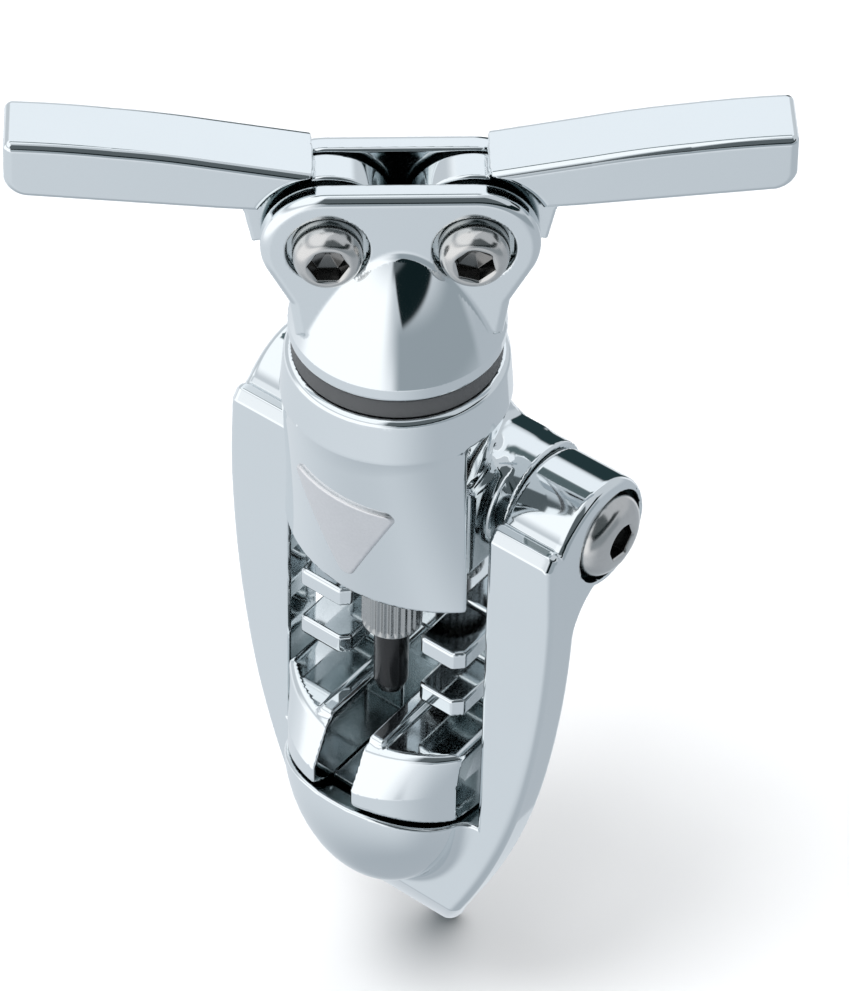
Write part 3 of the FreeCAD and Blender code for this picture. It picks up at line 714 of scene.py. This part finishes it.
rows = np.linspace(thread["low"] + 0.3, thread["high"], thread["rows"])
r, top, socket, floor = (thread[key] for key in ("radius", "top", "socket", "socketTop"))
profile = np.concatenate([
    [(socket, floor), (socket, thread["low"]), (thread["root"], thread["low"])],
    np.stack([rows * 0 + r, rows], axis=1),
    eased([(r, thread["high"] + 0.1), (r, top), (0, top)], 0.3, 5),
    [(0, top), (0, floor), (socket, floor)]])
points, faces = lathe(profile, origin, upward, 72, threadWave)
meshPiece("screwSpindle", points, faces, "head", "spindle_steel", ["spindle"])

pin = {"tip": 1.2, "radius": 1.6, "taper": 1.15, "top": 17.5}
profile = eased([(0, 0), (pin["tip"], 0), (pin["radius"], pin["taper"]),
                 (pin["radius"], pin["top"]), (0, pin["top"])], 0.12, 5)
points, faces = lathe(profile, origin, upward, 72)
meshPiece("pushPin", points, faces, "feed", "pin_black", ["push_pin"])

sleeve = {"radius": 2.75, "flutes": 26, "depth": 0.24, "foot": 8.4, "top": 20.2, "bore": 1.62,
          "neck": 2.2, "neckTop": 26.8, "chamfer": 0.25}


def fluted(r, h, a):
    # grooves along the sleeve: the radius dips with the cosine of the angle times the flute count
    ridge = 0.5 - 0.5 * np.cos(a * sleeve["flutes"])
    ease = np.clip((h - sleeve["foot"] - 0.25) / 0.35, 0, 1)
    return np.where(r > 2.6, r - sleeve["depth"] * ridge**0.7 * ease, r), h


bore, r, foot, top, neck = (sleeve[key] for key in ("bore", "radius", "foot", "top", "neck"))
profile = eased([(bore, foot), (r - sleeve["chamfer"], foot), (r, foot + sleeve["chamfer"]),
                 (r, foot + 0.8), (r, top), (neck, top), (neck, sleeve["neckTop"]),
                 (bore, sleeve["neckTop"]), (bore, foot)], 0.1, 4)
points, faces = lathe(profile, origin, upward, sleeve["flutes"] * 10, fluted)
meshPiece("pinSleeve", points, faces, "feed", "sleeve_knurl", ["pin_sleeve"])
print("turned pieces ready")


def turnTo(azimuth, elevation):
    # the direction from the tool to a point at that azimuth and elevation
    a, e = math.radians(azimuth), math.radians(elevation)
    return Vector((math.sin(a) * math.cos(e), -math.cos(a) * math.cos(e), math.sin(e)))


view = {"azimuth": 37.13, "elevation": 44.83, "distance": 0.43462, "roll": 1.07, "aim": 0.0223,
        "lens": 180.24, "sensor": 36, "shift": (0.0312, 0.0137), "reach": 20}
roll = math.radians(view["roll"])
back = turnTo(view["azimuth"], view["elevation"])
level = turnTo(view["azimuth"] + 90, 0)
above = back.cross(level)
tilted = level * math.cos(roll) + above * math.sin(roll)
upright = above * math.cos(roll) - level * math.sin(roll)
camera = bpy.data.objects.new("camera", bpy.data.cameras.new("camera"))
scene.collection.objects.link(camera)
camera.matrix_world = Matrix.Translation(back * view["distance"] + Vector((0, 0, view["aim"]))) @ \
    Matrix((tilted, upright, back)).transposed().to_4x4()
camera.data.lens = view["lens"]
camera.data.sensor_fit = "VERTICAL"
camera.data.sensor_height = view["sensor"]
camera.data.shift_x, camera.data.shift_y = view["shift"]
camera.data.clip_end = view["reach"]
scene.camera = camera

studio = {
    "floor": -0.0412, "half": 3.0, "cove": [(2900, -41.2), (2980, 40), (3000, 2500)], "world": 1.0,
    "key": ((-0.09, -0.3, 0.76), 0.34, 3.6), "sky": ((0, 0, 1.4), 2.4, 34.0),  # place, size, power
}
floorMesh = bpy.data.meshes.new("studioFloor")
half = studio["half"]
floorMesh.from_pydata([(x * half, y * half, studio["floor"])
                       for x, y in ((-1, -1), (1, -1), (1, 1), (-1, 1))], [], [(0, 1, 2, 3)])
floor = bpy.data.objects.new("studioFloor", floorMesh)
scene.collection.objects.link(floor)
paper = Finish("studioPaper", Roughness=0.9)
paper.feed("Base Color", paper.tint(paper.speckle(30, 2), (0.86, 0.87, 0.88), (0.88, 0.89, 0.90)))
floorMesh.materials.append(paper.material)
floor.visible_glossy = False
floor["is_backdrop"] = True

points, faces = lathe(np.array(studio["cove"]), origin, upward)
coveMesh = bpy.data.meshes.new("studioCove")
coveMesh.from_pydata((points * 0.001).tolist(), [], faces.tolist())
backdrop = bpy.data.objects.new("studioCove", coveMesh)
scene.collection.objects.link(backdrop)
cloth = Finish("studioCloth", Roughness=0.9)
cloth.shader.inputs["Emission Color"].default_value = (0.96, 0.97, 0.98, 1)
cloth.shader.inputs["Emission Strength"].default_value = 1.0
cloth.feed("Base Color", cloth.tint(cloth.speckle(3, 2), (0.8, 0.81, 0.82), (0.82, 0.83, 0.84)))
coveMesh.materials.append(cloth.material)
backdrop.visible_glossy = backdrop.visible_diffuse = backdrop.visible_shadow = False
backdrop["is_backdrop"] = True

world = bpy.data.worlds.new("studioAir")
scene.world = world
world.use_nodes = True
air = Board(world.node_tree)
way = air.node("ShaderNodeTexCoord", output="Generated")
parts = [air.node("ShaderNodeSeparateXYZ", inputs={"Vector": way}, output=n) for n in range(3)]
turned = parts[0].maths("ARCTAN2", parts[0], parts[1] * -1) * (180 / math.pi)
height = parts[2].maths("ARCSINE", parts[2]) * (180 / math.pi)

# soft panels round the tool: (azimuth from, to, elevation from, to, softness, tone); a leaning
# panel also says how far its sides lean with elevation and its ends rise with azimuth
panels = [
    (-190, 21, 33, 100, 6, (1.12, 1.15, 1.18)),  # white ceiling cloth on the left and in front
    (-65, 27, -24, 21, 8, (1.2, 1.22, 1.24)),    # low white wall in front
    (-176, -118, 27, 80, 4, (0.95, 1.0, 1.05)),  # white panel behind on the left
    (36, 122, -16, 9, 5, (0.33, 0.375, 0.41)),   # shaded table on the right
    (27, 95, 20, 72, 3, (0.11, 0.13, 0.14)),     # dim room above the right front
    (-162, -98, 56, 67, 3, (0.1, 0.14, 0.15)),   # gap between the ceiling cloth and the panel
    (48.7, 150, 1.2, 17, 1.2, (0.006, 0.014, 0.016), 0.85, 0.14),  # dark edge of the table
    (-167, -147, -24, 23, 3, (0.02, 0.04, 0.045)),  # dark doorway behind
]
near = air.rising(turned, 80.0, 20.0)
steep = air.rising(height, -48.0, -76.0)
tone = air.tint(near, (0.485, 0.53, 0.575), (0.71, 0.755, 0.8))
tone = air.tint(steep, tone, (0.44, 0.485, 0.53))
tone = air.tint(air.rising(height, -42.0, -14.0) * near, tone, (0.93, 0.96, 1.0))
tone = air.tint(air.rising(height, -12.0, 4.0), tone, (0.62, 0.66, 0.7))
for left, right, low, high, soft, shade, *lean in panels:
    across, up = turned, height
    if lean:
        across, up = turned + height * lean[0], height - turned * lean[1]
    mask = air.rising(across, left - soft, left + soft)
    mask = mask * air.rising(across, right + soft, right - soft)
    mask = mask * air.rising(up, low - soft, low + soft) * air.rising(up, high + soft, high - soft)
    tone = air.tint(mask, tone, shade)
air.tree.links.new(tone.socket, air.tree.nodes["Background"].inputs["Color"])
air.tree.nodes["Background"].inputs["Strength"].default_value = studio["world"]

world.cycles_visibility.diffuse = False  # the air is only seen and mirrored; lamps light the paper
for name in ("key", "sky"):
    place, size, power = studio[name]
    lamp = bpy.data.objects.new(name + "Panel", bpy.data.lights.new(name + "Panel", "AREA"))
    lamp.data.shape, lamp.data.size, lamp.data.energy = "DISK", size, power
    lamp.location = place
    lamp.rotation_euler = Vector(place).to_track_quat("Z", "Y").to_euler()
    lamp.visible_glossy = False
    scene.collection.objects.link(lamp)
scene.view_settings.view_transform = "Standard"
print("studio ready")

low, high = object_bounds()
